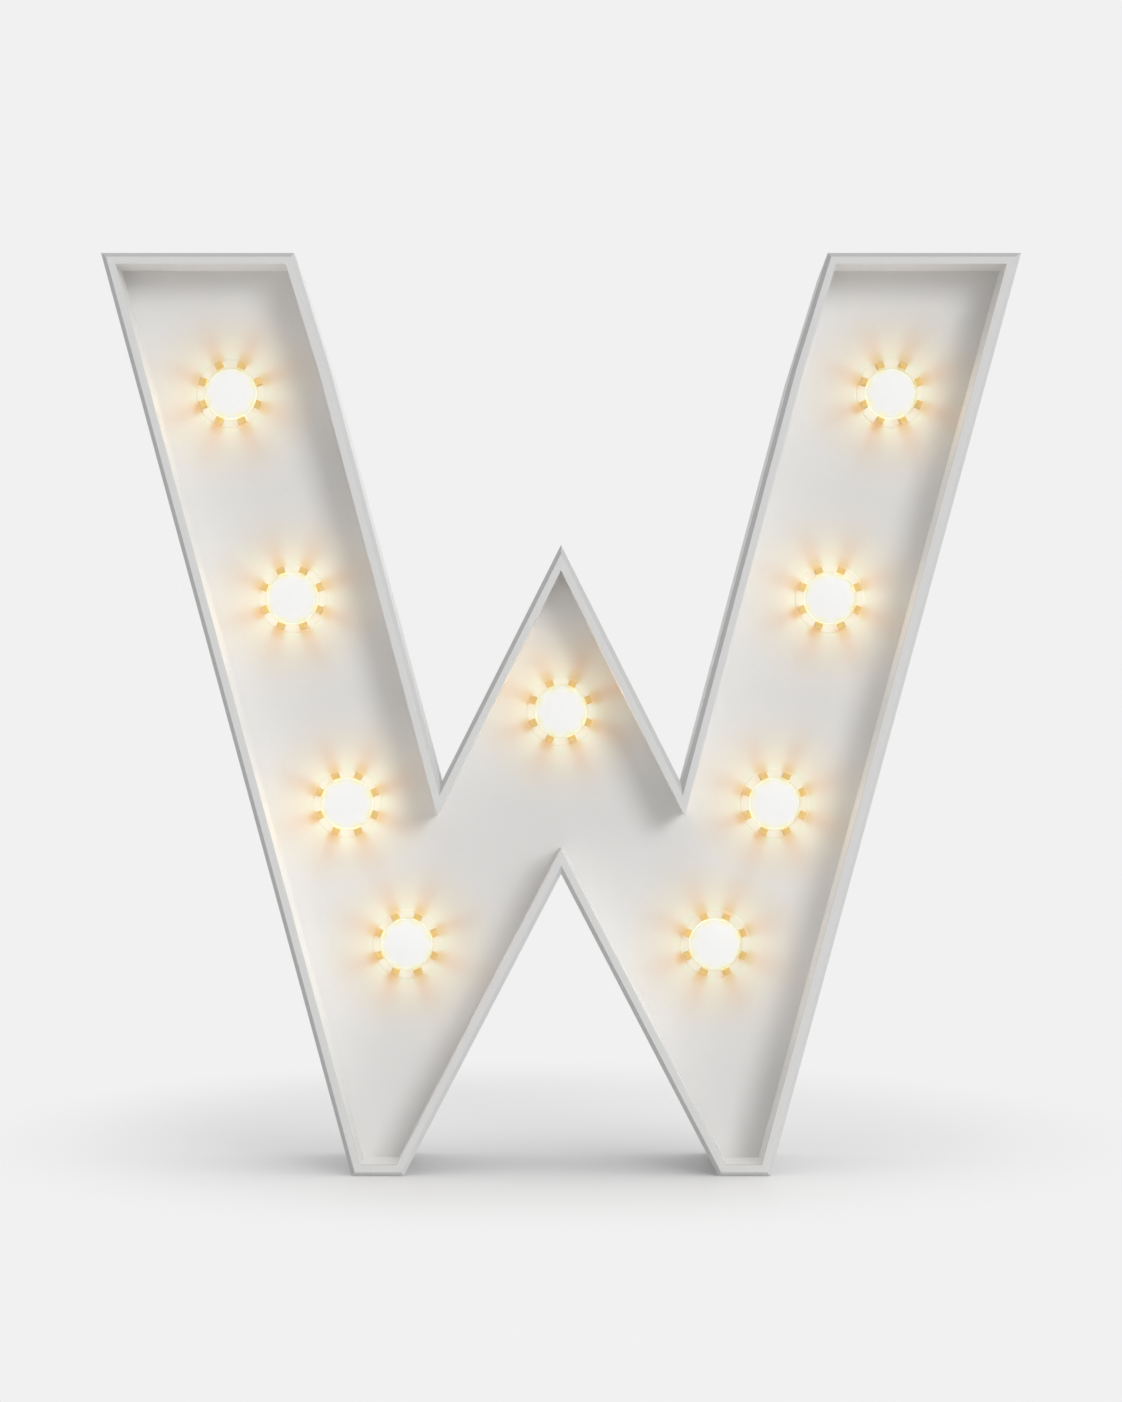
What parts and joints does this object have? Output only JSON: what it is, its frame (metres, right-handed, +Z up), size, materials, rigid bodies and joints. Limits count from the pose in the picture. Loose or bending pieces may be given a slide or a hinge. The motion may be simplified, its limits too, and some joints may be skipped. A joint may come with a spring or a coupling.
{
  "type": "light-up letter",
  "caption": "Battery-powered light-up letter W: a white tray on two flat feet with round warm lamps, a hinged battery door and a slide switch in its back.",
  "frame": {"origin": "on the floor, under the middle of the width and of the depth", "axes": "+X to the right seen from the front, +Y to the back, +Z up"},
  "size_m": [0.2194, 0.045, 0.22],
  "materials": {
    "shell_white": "satin",
    "cover_white": "matte",
    "collar_amber": "satin",
    "bulb_opal": "satin",
    "led_warm": "gloss",
    "board_green": "satin",
    "screw_steel": "satin",
    "contact_plate": "satin",
    "spring_steel": "polished",
    "cell_wrap": "satin",
    "wire_red": "satin",
    "wire_black": "satin",
    "knob_grey": "matte",
    "switch_case": "satin",
    "resistor_tan": "satin"
  },
  "bodies": {
    "letter": {"front_shell": "shell_white", "back_cover": "cover_white", "cover_screws": "screw_steel", "battery_cell_1": "cell_wrap", "battery_cell_2": "cell_wrap", "contact_positive": "contact_plate", "contact_negative": "contact_plate", "contact_bridge": "contact_plate", "battery_spring_1": "spring_steel", "battery_spring_2": "spring_steel", "battery_lead_positive": "wire_red", "battery_lead_negative": "wire_black", "switch_body": "switch_case", "control_board": "board_green", "board_screws": "screw_steel", "resistor": "resistor_tan", "harness_positive": "wire_red", "harness_negative": "wire_black", "lamp_collar_1": "collar_amber", "lamp_collar_2": "collar_amber", "lamp_collar_3": "collar_amber", "lamp_collar_4": "collar_amber", "lamp_collar_5": "collar_amber", "lamp_collar_6": "collar_amber", "lamp_collar_7": "collar_amber", "lamp_collar_8": "collar_amber", "lamp_collar_9": "collar_amber", "bulb_globe_1": "bulb_opal", "bulb_globe_2": "bulb_opal", "bulb_globe_3": "bulb_opal", "bulb_globe_4": "bulb_opal", "bulb_globe_5": "bulb_opal", "bulb_globe_6": "bulb_opal", "bulb_globe_7": "bulb_opal", "bulb_globe_8": "bulb_opal", "bulb_globe_9": "bulb_opal", "led_1": "led_warm", "led_2": "led_warm", "led_3": "led_warm", "led_4": "led_warm", "led_5": "led_warm", "led_6": "led_warm", "led_7": "led_warm", "led_8": "led_warm", "led_9": "led_warm", "led_board_1": "board_green", "led_board_2": "board_green", "led_board_3": "board_green", "led_board_4": "board_green", "led_board_5": "board_green", "led_board_6": "board_green", "led_board_7": "board_green", "led_board_8": "board_green", "led_board_9": "board_green"},
    "door": {"battery_door": "cover_white"},
    "knob": {"switch_knob": "knob_grey"}
  },
  "joints": [
    {"name": "door_hinge", "type": "hinge", "parent": "letter", "child": "door", "pos_m": [-0.07419, 0.0205, 0.17598], "axis": [0.9657, 0, 0.2597], "range_deg": [0, 100]},
    {"name": "switch_slide", "type": "slide", "parent": "letter", "child": "knob", "axis": [0.9657, 0, 0.2597], "range_m": [-0.004, 0]}
  ]
}
